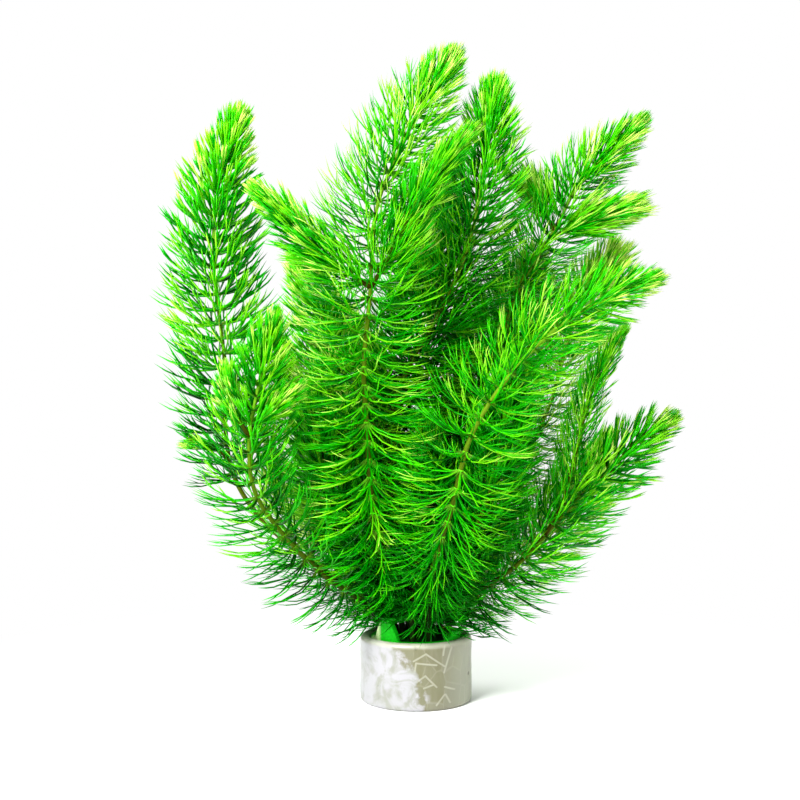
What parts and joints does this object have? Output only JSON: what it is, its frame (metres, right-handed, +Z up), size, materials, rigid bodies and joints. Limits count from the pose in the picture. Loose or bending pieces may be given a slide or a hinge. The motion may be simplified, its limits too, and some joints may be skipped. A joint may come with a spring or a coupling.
{
  "type": "hornwort bunch in a ceramic ring",
  "caption": "Bunch of hornwort stems with whorls of forked needle leaves, held upright by a foam strip in a short marbled ceramic ring; an aquarium plant that stands on its ring.",
  "frame": {"origin": "centre of the ring's foot, on the surface it stands on, below the middle of the bunch", "axes": "+Z up along the ring's axis, +X to the right and -Y to the front as in the picture"},
  "size_m": [0.1809, 0.1078, 0.2231],
  "materials": {
    "ceramic": "pale marbled ceramic, smooth with fine pits, soft sheen",
    "foam": "bright green soft foam",
    "old_shoots": "fresh green needle leaves, wet sheen, paler at the tips",
    "young_shoots": "light yellow-green needle leaves"
  },
  "bodies": {
    "root": {"ring": "ceramic", "foam": "foam", "stem_left_tall": "old_shoots", "stem_left_low": "old_shoots", "stem_centre_tall": "old_shoots", "stem_centre_mid": "old_shoots", "stem_right_reach": "old_shoots", "stem_right_upper": "old_shoots", "stem_right_low": "old_shoots", "stem_left_mid": "old_shoots", "stem_right_mid": "old_shoots", "stem_left_back": "old_shoots", "stem_back_tall": "old_shoots", "stem_back_left": "old_shoots", "stem_back_right": "old_shoots", "stem_back_low_right": "old_shoots", "stem_back_low_left": "old_shoots", "stem_inner_left": "old_shoots", "stem_inner_middle": "old_shoots", "stem_inner_right": "old_shoots", "branch_centre_left": "young_shoots", "branch_centre_right": "young_shoots", "branch_right_upper_left": "young_shoots", "branch_right_upper_side": "young_shoots", "branch_right_low": "young_shoots", "branch_left_side": "young_shoots", "branch_left_inner": "young_shoots", "branch_left_outer": "young_shoots"}
  },
  "joints": []
}
